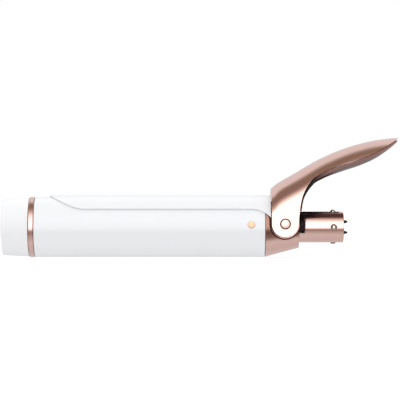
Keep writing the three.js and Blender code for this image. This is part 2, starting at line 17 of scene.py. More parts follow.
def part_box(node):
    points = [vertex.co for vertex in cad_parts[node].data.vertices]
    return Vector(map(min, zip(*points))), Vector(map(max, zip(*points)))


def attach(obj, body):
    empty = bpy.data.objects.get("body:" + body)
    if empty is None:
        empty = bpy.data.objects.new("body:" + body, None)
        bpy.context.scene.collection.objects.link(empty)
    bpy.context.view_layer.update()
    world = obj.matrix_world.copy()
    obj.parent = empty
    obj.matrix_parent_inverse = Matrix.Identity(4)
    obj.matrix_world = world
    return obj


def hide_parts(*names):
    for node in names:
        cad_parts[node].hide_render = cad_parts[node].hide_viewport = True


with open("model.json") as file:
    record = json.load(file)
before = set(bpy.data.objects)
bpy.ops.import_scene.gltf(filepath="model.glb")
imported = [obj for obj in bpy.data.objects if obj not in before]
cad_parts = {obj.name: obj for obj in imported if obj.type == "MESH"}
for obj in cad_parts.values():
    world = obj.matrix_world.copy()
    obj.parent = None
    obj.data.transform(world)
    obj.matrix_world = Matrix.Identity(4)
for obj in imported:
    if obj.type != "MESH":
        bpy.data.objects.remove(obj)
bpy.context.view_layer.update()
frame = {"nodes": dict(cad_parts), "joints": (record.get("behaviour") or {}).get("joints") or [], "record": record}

# %% [markdown]
# The maker's drawings are in millimetres and Blender's scene is in metres. We model in
# millimetres, where a 0.3 mm gap reads as 0.3, and shrink each mesh once when it is done.
# Two helpers turn an edited mesh into mesh data and put data into the scene.

# %% Units and places taken from the engineering model
MM = 0.001


def box_mm(node):
    """Lowest and highest corner of an engineering part, in millimetres."""
    low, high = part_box(node)
    return low / MM, high / MM


def mesh_of(bm, name):
    """Mesh data from an edited mesh, which is used up."""
    mesh = bpy.data.meshes.new(name)
    bm.to_mesh(mesh)
    bm.free()
    return mesh


def placed(name, data):
    """An object that shows data, linked into the scene."""
    thing = bpy.data.objects.new(name, data)
    bpy.context.collection.objects.link(thing)
    return thing


barrel_low, barrel_high = box_mm("barrel_tube")
BARREL_RADIUS = barrel_high.z
hinge = frame["joints"][0]
PIVOT = Vector(hinge["pos_m"]) / MM
print("barrel radius", round(BARREL_RADIUS, 2), "pivot", [round(v, 2) for v in PIVOT])

# %% [markdown]
# ## Camera
#
# The object is seen square from the side with a long lens, level, a little above the
# barrel's axis. A long lens keeps the two ends the same size, as a catalogue view does.

# %% Camera
VIEW_X = -90.5
VIEW_HEIGHT = 17.1
VIEW_DISTANCE = 1266.0

camera_data = bpy.data.cameras.new("catalogue_camera")
camera_data.lens = 180
camera_data.sensor_width = 36
camera_data.clip_end = 20
camera = placed("catalogue_camera", camera_data)
camera.location = Vector((VIEW_X, -VIEW_DISTANCE, VIEW_HEIGHT)) * MM
camera.rotation_euler = (math.radians(90), 0, 0)
bpy.context.scene.camera = camera
bpy.context.scene.view_settings.view_transform = "Standard"
print("camera", [round(v, 3) for v in camera.location])

# %% [markdown]
# ## Writing shaders as arithmetic
#
# A node tree is a formula drawn as boxes. Two small classes let us write the formula
# itself: `Wire` is a socket that Python's operators work on, and `Graph` makes any other
# node in one call. The settings go in first, because they decide which sockets exist.

# %% Shader helpers
class Wire:
    """A node's output. Arithmetic on it adds Math nodes."""

    def __init__(self, graph, socket):
        self.graph = graph
        self.socket = socket

    def maths(self, operation, *values):
        return self.graph.node("Math", {"operation": operation}, dict(enumerate(values)))

    def __add__(self, other):
        return self.maths("ADD", self, other)

    def __sub__(self, other):
        return self.maths("SUBTRACT", self, other)

    def __rsub__(self, other):
        return self.maths("SUBTRACT", other, self)

    def __mul__(self, other):
        return self.maths("MULTIPLY", self, other)

    __radd__ = __add__
    __rmul__ = __mul__


class Graph:
    """A node tree and the one method that fills it."""

    def __init__(self, tree):
        self.tree = tree

    def node(self, kind, settings=None, sockets=None, output=0):
        made = self.tree.nodes.new("ShaderNode" + kind)
        for key, value in (settings or {}).items():
            if key == "stops":
                self.set_stops(made.color_ramp, value)
            else:
                setattr(made, key, value)
        for key, value in (sockets or {}).items():
            self.feed(made.inputs[key], value)
        return Wire(self, made.outputs[output]) if made.outputs else None

    def feed(self, socket, value):
        if isinstance(value, Wire):
            self.tree.links.new(value.socket, socket)
        else:
            socket.default_value = value

    @staticmethod
    def set_stops(ramp, stops):
        while len(ramp.elements) < len(stops):
            ramp.elements.new(1)
        for element, (place, colour) in zip(ramp.elements, stops):
            element.position = place
            element.color = (*colour, 1)


def blank_material(name):
    """A material with nothing in it yet, and the graph that fills it."""
    material = bpy.data.materials.new(name)
    material.use_nodes = True
    material.node_tree.nodes.clear()
    return material, Graph(material.node_tree)


print("shader helpers ready")

# %% [markdown]
# ## Light
#
# Glossy metal shows the room, so the studio is designed by what the metal should reflect.
# Going round the barrel's long axis, starting level with the camera: a bright soft box up
# to about forty-five degrees, a dark gap overhead, and a dim wall behind. One ramp over
# that angle paints this studio on the world, above and below the tool alike.

# %% Studio
world = bpy.data.worlds.new("studio")
bpy.context.scene.world = world
world.use_nodes = True
world.node_tree.nodes.clear()
studio = Graph(world.node_tree)
direction = studio.node("TexCoord", output=0)
parts = studio.node("SeparateXYZ", None, {0: direction})
up = Wire(studio, parts.socket.node.outputs["Z"])
away = Wire(studio, parts.socket.node.outputs["Y"])
sideways = parts.maths("ABSOLUTE", parts)
turn = up.maths("ARCTAN2", up, away * -1.0) * (1 / (2 * math.pi)) + 0.5

# The light that comes from each angle above level on the camera's side, in degrees.
LIGHT_BY_ANGLE = [
    (-180, (0.36, 0.36, 0.36)), (-100, (0.32, 0.31, 0.31)), (-60, (0.36, 0.35, 0.35)),
    (-34, (0.27, 0.25, 0.24)), (-22, (0.15, 0.12, 0.11)), (-15, (0.20, 0.17, 0.16)),
    (-11, (0.42, 0.38, 0.36)), (-4, (1.0, 1.0, 1.0)), (28, (1.0, 1.0, 1.0)), (46, (0.66, 0.66, 0.66)),
    (57, (0.42, 0.38, 0.36)), (70, (0.23, 0.18, 0.16)), (82, (0.13, 0.095, 0.07)),
    (98, (0.14, 0.11, 0.085)), (116, (0.42, 0.42, 0.42)), (180, (0.38, 0.38, 0.38)),
]
SOFT_BOX = 1.9
TENT_BELOW, TENT_ABOVE = 0.79, 0.99
TENT_FULL_FROM = -0.45
TENT_COLOUR = (0.985, 0.992, 1.0, 1)

stops = [(0.5 + angle / 360, colour) for angle, colour in LIGHT_BY_ANGLE]
ramp = studio.node("ValToRGB", {"stops": stops}, {0: turn})

# Towards both ends of the barrel the soft box gives way to dimmer, warmer flags, and beyond
# them, near level, to the dark of the room, which draws a fine line along upright edges.
FLAG_START, FLAG_END = 0.07, 0.38
FLAG_LIGHT = (0.34, 0.27, 0.23, 1)
FLAG_MIDDLE, FLAG_REACH, FLAG_FADE = 8, 54, 74
DARK_START, DARK_END = 0.60, 0.72
DARK_LIGHT = (0.05, 0.042, 0.04, 1)
LEVEL_START, LEVEL_END = 0.25, 0.45

to_side = studio.node("MapRange", {"interpolation_type": "SMOOTHSTEP"}, {
    "Value": sideways, "From Min": FLAG_START, "From Max": FLAG_END})
in_front = studio.node("MapRange", None, {
    "Value": turn.maths("ABSOLUTE", turn - (0.5 + FLAG_MIDDLE / 360)),
    "From Min": FLAG_REACH / 360, "From Max": FLAG_FADE / 360, "To Min": 1.0, "To Max": 0.0})
flagged = studio.node("Mix", {"data_type": "RGBA", "blend_type": "MULTIPLY"}, {
    0: to_side * in_front, 6: ramp, 7: FLAG_LIGHT}, output=2)
to_dark = studio.node("MapRange", {"interpolation_type": "SMOOTHSTEP"}, {
    "Value": sideways, "From Min": DARK_START, "From Max": DARK_END})
level = studio.node("MapRange", {"interpolation_type": "SMOOTHSTEP"}, {
    "Value": up.maths("ABSOLUTE", up), "From Min": LEVEL_START, "From Max": LEVEL_END,
    "To Min": 1.0, "To Max": 0.0})
darkened = studio.node("Mix", {"data_type": "RGBA"}, {
    0: to_dark * level, 6: flagged, 7: DARK_LIGHT}, output=2)
room = studio.node("Background", None, {"Color": darkened, "Strength": SOFT_BOX})

# Matte surfaces are lit by an even white tent, a little brighter above than below.
tent_light = studio.node("MapRange", None, {
    "Value": up, "From Min": -1.0, "From Max": TENT_FULL_FROM, "To Min": TENT_BELOW,
    "To Max": TENT_ABOVE})
tent = studio.node("Background", None, {"Color": TENT_COLOUR, "Strength": tent_light})
backdrop = studio.node("Background", None, {"Color": (1, 1, 1, 1), "Strength": 1.0})
by_camera = studio.node("LightPath")
by_matte = Wire(studio, by_camera.socket.node.outputs["Is Diffuse Ray"])
lit = studio.node("MixShader", None, {0: by_matte, 1: room, 2: tent})
shown = studio.node("MixShader", None, {0: by_camera, 1: lit, 2: backdrop})
studio.node("OutputWorld", None, {"Surface": shown})
print("studio of", len(LIGHT_BY_ANGLE), "stops")

# %% [markdown]
# The floor is a plain pale sheet under the barrel. It shows to the camera and takes soft
# shadows, but the tool's light from below comes from the room's lower half, set above. One
# wide lamp overhead brightens what faces up, without showing in the metal.

# %% Floor and overhead lamp
FLOOR_SIZE = 12.0
FLOOR_DROP = 0.15
FLOOR_GLOW = 0.82
FLOOR_PAINT = 0.30
LAMP = {"energy": 4, "width": 1.6, "depth": 1.0, "place": (-0.09, -0.1, 1.3)}

floor_bm = bmesh.new()
bmesh.ops.create_grid(floor_bm, x_segments=1, y_segments=1, size=FLOOR_SIZE / 2)
floor = placed("floor", mesh_of(floor_bm, "floor"))
floor.location.z = (barrel_low.z - FLOOR_DROP) * MM

floor_material, paper = blank_material("floor")
paint = paper.node("BsdfDiffuse", None, {"Color": (*[FLOOR_PAINT] * 3, 1)})
glow = paper.node("Emission", None, {"Color": (1, 1, 1, 1), "Strength": FLOOR_GLOW})
paper.node("OutputMaterial", None, {"Surface": paper.node("AddShader", None, {0: paint, 1: glow})})
floor.visible_glossy = False
floor.visible_diffuse = False
floor.visible_shadow = False
floor.data.materials.append(floor_material)

lamp_data = bpy.data.lights.new("overhead", "AREA")
lamp_data.energy = LAMP["energy"]
lamp_data.shape = "RECTANGLE"
lamp_data.size = LAMP["width"]
lamp_data.size_y = LAMP["depth"]
lamp = placed("overhead", lamp_data)
lamp.location = LAMP["place"]
lamp.visible_glossy = False
print("floor at", round(floor.location.z, 4))

# %% [markdown]
# Two small black cards stand near the connector, out of the camera's sight. Photographers
# use such cards to give bright metal a dark outline: they are seen only in reflections.

# %% Black cards
CARDS = {
    "card_behind": [(-28, 14, 8), (-1, 14, 8), (-1, 14, 29), (-28, 14, 29)],
    "card_beside": [(-28.3, -12, -7), (-24.4, -12, -7), (-22.9, -12, 28), (-28.3, -12, 28)],
}
FELT_BLACK = (0.004, 0.003, 0.003, 1)

card_material, felt = blank_material("black_card")
felt.node("OutputMaterial", None, {
    "Surface": felt.node("BsdfDiffuse", None, {"Color": FELT_BLACK})})
for name, corners in CARDS.items():
    card_bm = bmesh.new()
    card_bm.faces.new([card_bm.verts.new(Vector(corner) * MM) for corner in corners])
    card = placed(name, mesh_of(card_bm, name))
    card.data.materials.append(card_material)
    card.visible_camera = False
    card.visible_diffuse = False
    card.visible_shadow = False
    card.visible_transmission = False
print(len(CARDS), "cards")

# %% [markdown]
# ## Finishes
#
# Every finish here is one shader with three things on top of its colour: a soft mottling,
# a fine grain that can be stretched along the direction it was brushed or drawn, and a
# roughness that follows both. Patterns read Object coordinates, so they stay on the piece
# when the clip opens. The numbers that differ from finish to finish are the arguments.

# %% One maker for all finishes
CLOUD_SCALE = 60.0
CLOUD_SHARE = 0.6
DRIFT_START, DRIFT_END = 0.35, 0.65
COAT_ROUGHNESS = 0.08
# Painted shade: the cover turns black between these places along x, in mm, and these depths below its rim.
EAR_SHADE_FULL_X, EAR_SHADE_CLEAR_X = -21, -8
BELLY_SHADE_START, BELLY_SHADE_END, BELLY_SHADE_LEAST = 1.7, 2.9, 0.3
COVER_PAINTED_SHADOW = (0.008, 0.004, 0.003, 1)
# Painted shade: the darker rose of the collar's pocket walls and floor.
POCKET_PAINTED_SHADE = (0.68, 0.50, 0.47, 1)


def finish_of(name, colour, second, roughness, metallic=0.0, grain=(900, 900, 900), spread=0.06,
              depth=0.02, coat=0.0, specular=0.5, shade=None):
    """A material: colour drifts towards second, grain roughens it and stands depth mm proud."""
    material, graph = blank_material(name)
    place = graph.node("TexCoord", output=3)
    clouds = graph.node("TexNoise", None, {"Vector": place, "Scale": CLOUD_SCALE, "Detail": 3.0})
    stretched = graph.node("Mapping", None, {"Vector": place, "Scale": grain})
    fine = graph.node("TexNoise", None, {"Vector": stretched, "Scale": 1.0, "Detail": 4.0})
    drift = graph.node("MapRange", None, {
        "Value": clouds * CLOUD_SHARE + fine * (1 - CLOUD_SHARE),
        "From Min": DRIFT_START, "From Max": DRIFT_END})
    tint = graph.node("Mix", {"data_type": "RGBA"}, {
        0: drift, 6: (*colour, 1), 7: (*second, 1)}, output=2)
    # Two finishes paint shade into their colour here: the lever's cover and the collar's pockets.
    if shade:
        tint = shade(graph, place, tint)
    bump = graph.node("Bump", None, {"Strength": 1.0, "Distance": depth * MM, "Height": fine})
    shader = graph.node("BsdfPrincipled", None, {
        "Base Color": tint,
        "Metallic": metallic,
        "Roughness": (fine - 0.5) * spread + (clouds - 0.5) * spread + roughness,
        "Specular IOR Level": specular,
        "Coat Weight": coat,
        "Coat Roughness": COAT_ROUGHNESS,
        "Normal": bump,
    })
    graph.node("OutputMaterial", None, {"Surface": shader})
    return material


def cover_painted_shade(graph, place, tint):
    """Paints shade on the lever's cover, taking it to black towards the ears and along the bottom of its belly."""
    along = graph.node("SeparateXYZ", None, {0: place})
    from_ears = graph.node("MapRange", {"interpolation_type": "SMOOTHSTEP"}, {
        "Value": along, "From Min": EAR_SHADE_FULL_X * MM, "From Max": EAR_SHADE_CLEAR_X * MM})
    depth_mm = graph.node("Attribute", {"attribute_name": "below_rim"}, output=2)
    belly = graph.node("MapRange", {"interpolation_type": "SMOOTHSTEP"}, {
        "Value": depth_mm, "From Min": BELLY_SHADE_START, "From Max": BELLY_SHADE_END,
        "To Min": 1.0, "To Max": BELLY_SHADE_LEAST})
    return graph.node("Mix", {"data_type": "RGBA"}, {
        0: from_ears * belly, 6: COVER_PAINTED_SHADOW, 7: tint}, output=2)


def pocket_painted_shade(graph, place, tint):
    """Paints shade into the collar's pockets: a darker, duller rose on their walls and floor."""
    inside = graph.node("Attribute", {"attribute_name": "in_pocket"}, output=2)
    return graph.node("Mix", {"data_type": "RGBA"}, {
        0: inside, 6: tint, 7: POCKET_PAINTED_SHADE}, output=2)


# How fine the grain is along x, y and z, for metal brushed round the tool or drawn along it.
AROUND = (3500, 120, 120)
ALONG = (60, 2600, 2600)
RECIPES = {
    "white_ceramic": dict(
        colour=(0.88, 0.885, 0.90), second=(0.865, 0.872, 0.89), roughness=0.20,
        spread=0.05, depth=0.002, grain=(1400, 1400, 1400), coat=0.3),
    "white_plastic": dict(
        colour=(0.90, 0.90, 0.91), second=(0.88, 0.882, 0.89), roughness=0.34,
        depth=0.004, grain=(2600, 2600, 2600)),
    "rose_gold": dict(
        colour=(0.93, 0.65, 0.59), second=(0.90, 0.62, 0.56), roughness=0.19,
        metallic=1.0, grain=AROUND, spread=0.05, depth=0.0006, shade=pocket_painted_shade),
    "rose_screw": dict(
        colour=(0.86, 0.55, 0.36), second=(0.78, 0.48, 0.32), roughness=0.22,
        metallic=1.0, depth=0.001),
    # The cover's dark colour is partly its own and partly a painted reflection, standing in for the dark
    # surroundings mirrored in the underside.
    "dark_rose": dict(
        colour=(0.29, 0.150, 0.130), second=(0.26, 0.133, 0.115), roughness=0.32,
        depth=0.001, specular=0.25, shade=cover_painted_shade),
    "black_resin": dict(
        colour=(0.022, 0.022, 0.023), second=(0.035, 0.034, 0.033), roughness=0.45,
        spread=0.2, depth=0.01, grain=(600, 3000, 3000)),
    "bare_aluminium": dict(
        colour=(0.72, 0.73, 0.74), second=(0.62, 0.63, 0.65), roughness=0.38,
        metallic=1.0, grain=ALONG, spread=0.2, depth=0.006),
    "insulating_film": dict(
        colour=(0.55, 0.27, 0.04), second=(0.62, 0.33, 0.06), roughness=0.22,
        spread=0.1, depth=0.003, coat=0.5),
    "contact_metal": dict(
        colour=(0.80, 0.62, 0.30), second=(0.70, 0.52, 0.24), roughness=0.32,
        metallic=1.0, grain=ALONG, spread=0.15, depth=0.003),
    "heater_ceramic": dict(
        colour=(0.44, 0.42, 0.39), second=(0.30, 0.29, 0.27), roughness=0.75,
        spread=0.15, depth=0.03, grain=(1800, 1800, 1800)),
    "steel": dict(
        colour=(0.64, 0.64, 0.66), second=(0.52, 0.52, 0.54), roughness=0.28,
        metallic=1.0, spread=0.15, depth=0.002, grain=(1500, 300, 1500)),
    "polished_steel": dict(
        colour=(0.88, 0.80, 0.76), second=(0.84, 0.76, 0.72), roughness=0.14,
        metallic=1.0, depth=0.001),
    "dark_contact": dict(
        colour=(0.016, 0.014, 0.013), second=(0.03, 0.025, 0.022), roughness=0.42,
        spread=0.15, depth=0.002, specular=0.2),
    "nylon": dict(
        colour=(0.80, 0.79, 0.74), second=(0.74, 0.73, 0.68), roughness=0.42,
        depth=0.006),
    "wire_red": dict(
        colour=(0.42, 0.035, 0.025), second=(0.36, 0.03, 0.022), roughness=0.5,
        depth=0.004),
    "wire_white": dict(
        colour=(0.74, 0.72, 0.67), second=(0.68, 0.66, 0.61), roughness=0.5,
        depth=0.004),
}
FINISHES = {name: finish_of(name, **recipe) for name, recipe in RECIPES.items()}
print(len(FINISHES), "finishes")

# %% [markdown]
# The record says which finish each engineering part takes. Parts that stay as they are get
# theirs here. The finer pieces that come later take the same one by name.

# %% Finishes for the engineering parts
SLOT_OF = {part["node"]: part["material_slot"] for part in frame["record"]["subparts"]}
for node, thing in frame["nodes"].items():
    thing.data.materials.clear()
    thing.data.materials.append(FINISHES[SLOT_OF[node]])
print(len(SLOT_OF), "parts given a finish")

# %% [markdown]
# ## Making pieces
#
# Most of this tool is turned: a side outline spun about an axis. `turned` does that and
# then rounds the corners that ask for it, because no real edge is perfectly sharp and the
# thin highlight on a rounded edge is what makes it look made.

# %% Turning on a lathe
SAME_SPOT = 0.001
AXIS = {"X": (Vector((1, 0, 0)), Vector((0, 0, 1))), "Y": (Vector((0, 1, 0)), Vector((1, 0, 0))),
        "Z": (Vector((0, 0, 1)), Vector((1, 0, 0)))}


def turned(outline, along="X", centre=(0, 0, 0), steps=144):
    """Spin corners (place along the axis, radius, optional rounding) into a closed body."""
    axis, out = AXIS[along]
    centre = Vector(centre)
    bm = bmesh.new()
    corners = [bm.verts.new(centre + axis * corner[0] + out * corner[1]) for corner in outline]
    lines = [bm.edges.new(pair) for pair in zip(corners, corners[1:])]
    if outline[0][1] > 0:
        lines.append(bm.edges.new((corners[-1], corners[0])))
    bmesh.ops.spin(bm, geom=corners + lines, cent=centre, axis=axis, angle=2 * math.pi,
                   steps=steps, use_merge=True)
    bmesh.ops.remove_doubles(bm, verts=bm.verts, dist=SAME_SPOT)
    bmesh.ops.recalc_face_normals(bm, faces=bm.faces)
    for place, radius, *rounding in outline:
        if rounding:
            round_off(bm, hoop(bm, axis, centre, place, radius), rounding[0])
    return bm


def turned_across(outline, side, x, z, steps=72):
    """Turn a body about a line across the tool at (x, z), with places counted outwards."""
    return turned([(side * place, *rest) for place, *rest in outline], along="Y",
                  centre=(x, 0, z), steps=steps)


def hoop(bm, axis, centre, place, radius):
    """The edges of one circle of a turned body."""
    def is_on(vert):
        offset = vert.co - centre
        height = offset.dot(axis)
        reach = (offset - axis * height).length
        return abs(height - place) < SAME_SPOT and abs(reach - radius) < SAME_SPOT
    return [edge for edge in bm.edges if is_on(edge.verts[0]) and is_on(edge.verts[1])]


def round_off(bm, edges, width, segments=4):
    """Roll edges over by width."""
    bmesh.ops.bevel(bm, geom=edges, offset=width, segments=segments, profile=0.5,
                    affect="EDGES", material=-1, clamp_overlap=True)


print("lathe ready")

# %% [markdown]
# Finished meshes are shrunk to metres, shaded smooth up to a crease angle, and tied to the
# body of the engineering model that they move with. Weighted normals keep flats flat next
# to a rounded edge.

# %% Handing a piece over
def extra_piece(bm, name, finish, body, crease=32):
    """Make a piece from a shape in millimetres, with its finish and the body it moves with."""
    bmesh.ops.scale(bm, vec=(MM, MM, MM), verts=bm.verts)
    mesh = mesh_of(bm, name)
    mesh.shade_smooth()
    mesh.set_sharp_from_angle(angle=math.radians(crease))
    mesh.materials.append(FINISHES[finish])
    piece = placed(name, mesh)
    weighted = piece.modifiers.new("weighted", "WEIGHTED_NORMAL")
    weighted.keep_sharp = True
    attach(piece, body)
    print(name, len(mesh.polygons), "faces on", body)
    return piece


BODY_OF = {node: body for body, nodes in frame["record"]["behaviour"]["bodies"].items()
           for node in nodes}


def piece_from(bm, name, node, crease=32):
    """Make a piece that stands for an engineering part and takes its body and finish."""
    piece = extra_piece(bm, name, SLOT_OF[node], BODY_OF[node], crease)
    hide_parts(node)
    return piece


# %% [markdown]
# Holes, pockets and slots are cut as a machinist would: make the shape of the cutter and
# take it away. The exact boolean solver copes with cuts that graze a surface.

# %% Cutting and trimming
CUT_MERGE = 0.004


def carved(bm, *cutters, operation="DIFFERENCE"):
    """Take every cutter away from a body, or keep only what lies inside them."""
    body = placed("body", mesh_of(bm, "body"))
    tools = [placed("cutter", mesh_of(cutter, "cutter")) for cutter in cutters]
    for tool in tools:
        cut = body.modifiers.new("cut", "BOOLEAN")
        cut.operation = operation
        cut.solver = "EXACT"
        cut.object = tool
    result = bmesh.new()
    result.from_mesh(body.evaluated_get(bpy.context.evaluated_depsgraph_get()).to_mesh())
    for thing in (body, *tools):
        bpy.data.objects.remove(thing)
    bmesh.ops.remove_doubles(result, verts=result.verts, dist=CUT_MERGE)
    return result


def slab(outline, low, high):
    """A side-view outline of (x, z) points made solid from y = low to y = high."""
    bm = bmesh.new()
    face = bm.faces.new([bm.verts.new((x, low, z)) for x, z in outline])
    pushed = bmesh.ops.extrude_face_region(bm, geom=[face])["geom"]
    moved = [item for item in pushed if isinstance(item, bmesh.types.BMVert)]
    bmesh.ops.translate(bm, vec=(0, high - low, 0), verts=moved)
    bmesh.ops.recalc_face_normals(bm, faces=bm.faces)
    return bm


def disc_points(x, z, radius, start=0, end=360, steps=64):
    """Points on an arc in side view, in degrees."""
    angles = [math.radians(start + (end - start) * i / steps) for i in range(steps + 1)]
    points = [(x + radius * math.cos(a), z + radius * math.sin(a)) for a in angles]
    return points[:-1] if end - start == 360 else points


def span(side, near, far):
    """The y range from near to far out from the middle, on one side."""
    return (near, far) if side > 0 else (-far, -near)


SIDES = [("left", -1), ("right", 1)]
print("cutters ready")

# %% [markdown]
# ## Cool tip
#
# The tip is a thin moulded cup that stays cool enough to hold. It is turned with a generous
# round at its end. A shallow dish in the end face hides the mark of the mould's gate.

# %% Cool tip and its band
CAP = {"front": -215.2, "rear": -198.2, "radius": 18.6, "end_radius": 17.9, "bore": 16.6,
       "edge": 1.2, "inner_edge": 1.0, "wall": 2.0}
DISH = {"radius": 9.0, "depth": 0.25, "slope": 0.4, "edge": 0.1}
BAND = {"front": -197.9, "rear": -194.8, "radius": 19.05, "bore": 16.6}
EDGE = 0.25

cap = turned([
    (CAP["front"] + DISH["depth"], 0),
    (CAP["front"] + DISH["depth"], DISH["radius"] - DISH["slope"]),
    (CAP["front"], DISH["radius"], DISH["edge"]), (CAP["front"], CAP["end_radius"], CAP["edge"]),
    (CAP["rear"], CAP["radius"], EDGE), (CAP["rear"], CAP["bore"], EDGE),
    (CAP["front"] + CAP["wall"], CAP["bore"], CAP["inner_edge"]),
    (CAP["front"] + CAP["wall"], 0),
])
piece_from(cap, "cool_tip_cap", "tip_cap")

band = turned([
    (BAND["front"], BAND["bore"]), (BAND["front"], BAND["radius"], EDGE),
    (BAND["rear"], BAND["radius"], EDGE), (BAND["rear"], BAND["bore"]),
])
piece_from(band, "tip_band_ring", "tip_band")

# %% [markdown]
# ## Barrel
#
# The barrel is a ceramic-coated tube. Two countersunk screws near its rear hold it to the
# chassis, one on each side. The same outline, a little larger, cuts the seat for each screw.
# The tube is first split a few millimetres either side of the screws, which keeps its long
# faces clear of the cut.

# %% Barrel tube and screws
BARREL = {"radius": 19.0, "bore": 18.0, "front": -194.5, "rear": -49.8}
SCREW = {"x": -58.4, "z": 1.7, "head": 2.2, "shank": 1.1, "head_depth": 1.1, "length": 4.4,
         "rim": 0.25, "edge": 0.12, "slot": 0.62, "slot_depth": 0.8, "slot_reach": 0.66,
         "split": 4.0}
CLEARANCE = 0.3


def screw_body(side, grow, rounding=0.0):
    """A countersunk screw, or with grow the seat that it sits in."""
    top = BARREL["radius"] + grow
    shank, head = SCREW["shank"] + grow, SCREW["head"] + grow
    return turned_across([
        (top - SCREW["length"] - grow, 0), (top - SCREW["length"] - grow, shank),
        (top - grow - SCREW["head_depth"], shank), (top - SCREW["rim"], head, rounding),
        (top, head, rounding), (top, 0),
    ], side, SCREW["x"], SCREW["z"], steps=48)


tube = turned([
    (BARREL["front"], BARREL["bore"]), (BARREL["front"], BARREL["radius"], EDGE),
    (BARREL["rear"], BARREL["radius"], EDGE), (BARREL["rear"], BARREL["bore"]),
], steps=256)
for offset in (-SCREW["split"], SCREW["split"]):
    bmesh.ops.bisect_plane(tube, geom=tube.verts[:] + tube.edges[:] + tube.faces[:],
                           plane_co=(SCREW["x"] + offset, 0, 0), plane_no=(1, 0, 0))
tube = carved(tube, *(screw_body(side, CLEARANCE) for _, side in SIDES))
piece_from(tube, "barrel_sleeve", "barrel_tube")

for name, side in SIDES:
    arm = SCREW["head"] * SCREW["slot_reach"]
    half = SCREW["slot"] / 2
    cross = [
        slab([(SCREW["x"] + sx * a, SCREW["z"] + sz * b) for sx, sz in
              ((1, 1), (-1, 1), (-1, -1), (1, -1))],
             *span(side, BARREL["radius"] - SCREW["slot_depth"], BARREL["radius"] + 1))
        for a, b in ((arm, half), (half, arm))
    ]
    screw = carved(screw_body(side, 0, SCREW["edge"]), *cross)
    piece_from(screw, f"barrel_screw_head_{name}", f"barrel_screw_{name}")

# %% [markdown]
# ## Collar
#
# The collar tapers from the barrel down to the handle. Each side has a deep round pocket
# where one ear of the lever turns, and under the ear a ring-shaped recess for the spring.
# The faces of a pocket carry an attribute that the rose-gold finish reads to paint shade into the pocket.

# %% Collar
COLLAR = {"front": -49.5, "rear": -28.1, "radius": 18.9, "rear_radius": 13.2, "rear_edge": 0.4,
          "bore": 7.5, "bore_front": -46.0, "mouth": 14.9}
SLEEVE = {"front": -30.6, "rear": 0.0, "radius": 9.8, "bore": 8.6, "chamfer": 0.25,
          "bore_edge": 0.2}
POCKET = {"radius": 10.0, "floor": 11.7, "top": 26.0, "fillet": 1.2, "floor_margin": 0.05,
          "wall_margin": 0.02}
SPRING = {"coil": 4.3, "wire": 0.7, "turns": 2, "steps_per_turn": 48, "recess": 5.5, "boss": 3.2,
          "floor": 8.9, "below_ear": 0.1}
STUD_SHANK = 1.8

seat = SLEEVE["radius"] + CLEARANCE
collar = turned([
    (COLLAR["front"], COLLAR["mouth"]), (COLLAR["front"], COLLAR["radius"], EDGE),
    (COLLAR["rear"], COLLAR["rear_radius"], COLLAR["rear_edge"]), (COLLAR["rear"], seat),
    (SLEEVE["front"] - CLEARANCE, seat), (SLEEVE["front"] - CLEARANCE, COLLAR["bore"]),
    (COLLAR["bore_front"], COLLAR["bore"]),
], steps=192)
tools = []
cutter_end = POCKET["floor"] + 1
for _, side in SIDES:
    pocket = disc_points(PIVOT.x, PIVOT.z, POCKET["radius"], 180, 360)
    pocket += [(PIVOT.x + POCKET["radius"], POCKET["top"]),
               (PIVOT.x - POCKET["radius"], POCKET["top"])]
    cutter = slab(pocket, *span(side, POCKET["floor"], COLLAR["radius"] + 1))
    round_off(cutter, [edge for edge in cutter.edges
                       if all(abs(abs(vert.co.y) - POCKET["floor"]) < POCKET["floor_margin"]
                              for vert in edge.verts)],
              POCKET["fillet"], segments=6)
    tools.append(cutter)
    tools.append(turned_across([
        (SPRING["floor"], SPRING["boss"]), (SPRING["floor"], SPRING["recess"]),
        (cutter_end, SPRING["recess"]), (cutter_end, SPRING["boss"]),
    ], side, PIVOT.x, PIVOT.z, steps=64))
    tools.append(turned_across([
        (0, 0), (0, STUD_SHANK + CLEARANCE), (cutter_end, STUD_SHANK + CLEARANCE),
        (cutter_end, 0),
    ], side, PIVOT.x, PIVOT.z, steps=48))
collar = carved(collar, *tools)


def in_pocket(spot):
    """Whether a spot on the collar, in millimetres, is on the wall or floor of a pocket."""
    reach = math.hypot(spot.x - PIVOT.x, min(spot.z - PIVOT.z, 0))
    return (abs(spot.y) > POCKET["floor"] - POCKET["floor_margin"]
            and reach < POCKET["radius"] + POCKET["wall_margin"])


hinge_collar = piece_from(collar, "hinge_collar", "collar", crease=28).data
# Marks the pocket faces, where the rose-gold finish paints shade.
pocket_shade_faces = hinge_collar.attributes.new("in_pocket", "FLOAT", "FACE")
for face in hinge_collar.polygons:
    pocket_shade_faces.data[face.index].value = all(in_pocket(hinge_collar.vertices[v].co / MM)
                                        for v in face.vertices)

# %% [markdown]
# ## Bayonet connector
#
# The sleeve slides into the handle and twists. Four domed lugs catch in slots there, and
# four sprung contact pins in a resin disc carry the current.

# %% Sleeve, lugs, contact disc and pins
LUG = {"x": -6.4, "radius": 1.7, "top": 10.95, "crown": 0.6, "edge": 0.45, "top_share": 0.45,
       "top_edge": 0.3, "foot": 0.1, "split": 3.0}
CARRIER = {"length": 8.5, "edge": 0.3, "rim": 1.1, "rim_edge": 0.1, "slope": 1.3, "dish": 0.35,
           "hole": 1.2, "flare": 0.45, "flare_start": -0.75, "flare_end": -0.30}
PIN = {"offset": 3.4, "tail": -14.0, "out": 2.5, "radius": 1.0, "tip": 0.7, "step": 1.4,
       "collar": 0.5, "tail_edge": 0.1, "step_edge": 0.12, "tip_edge": 0.3}


